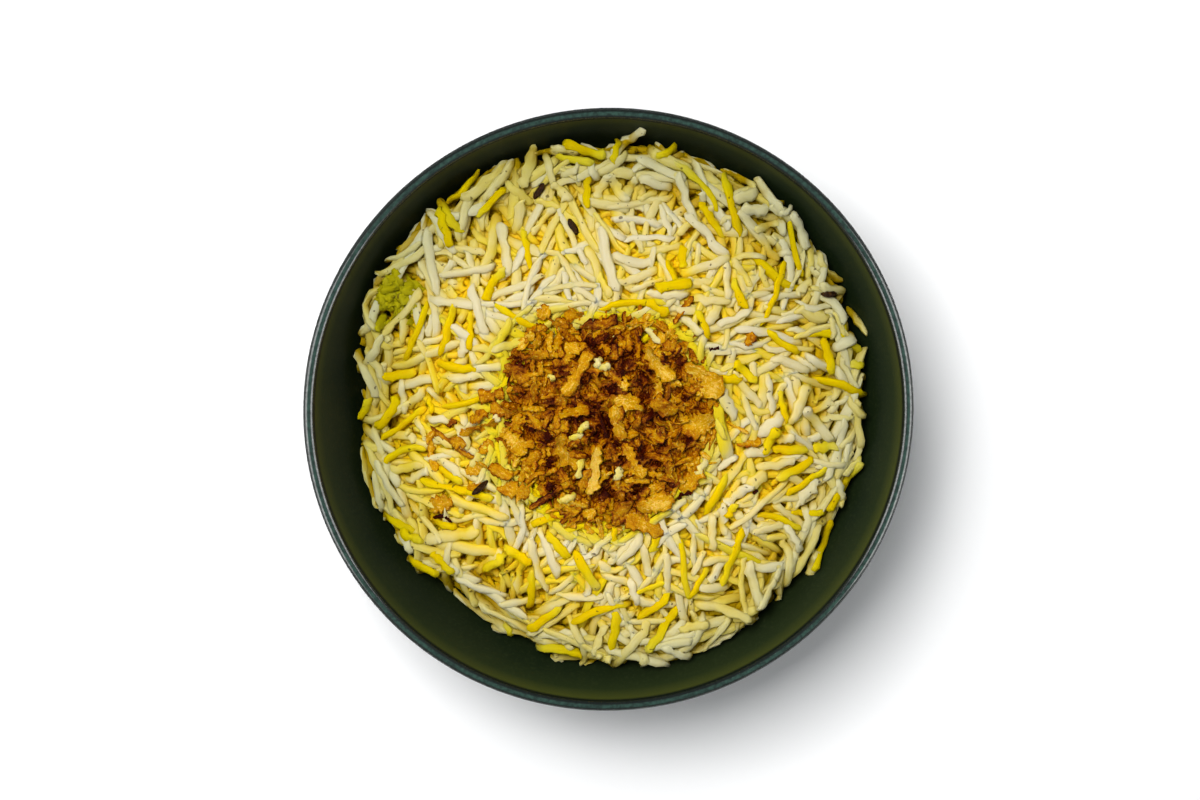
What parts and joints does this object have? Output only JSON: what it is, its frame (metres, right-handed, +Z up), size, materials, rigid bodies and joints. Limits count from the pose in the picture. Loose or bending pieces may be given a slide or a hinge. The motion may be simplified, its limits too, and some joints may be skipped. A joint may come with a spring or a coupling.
{
  "type": "bowl of pilaf",
  "caption": "Round dark flared bowl on a foot ring, filled with a domed heap of long-grain rice that has a round layer of crisp fried onion on its top.",
  "frame": {"origin": "centre of the foot ring's underside, on the table", "axes": "+Z up through the middle of the bowl, +X to the right of the picture, +Y towards the picture's top edge"},
  "size_m": [0.14, 0.14, 0.0668],
  "materials": {
    "bowl_glaze": "satin, very dark green, finely speckled, a little rougher and greyer on the rounded edge",
    "rice": null,
    "fried_onion": null
  },
  "bodies": {
    "root": {"bowl": "bowl_glaze", "pilaf_rice": "rice", "fried_onion": "fried_onion"}
  },
  "joints": []
}
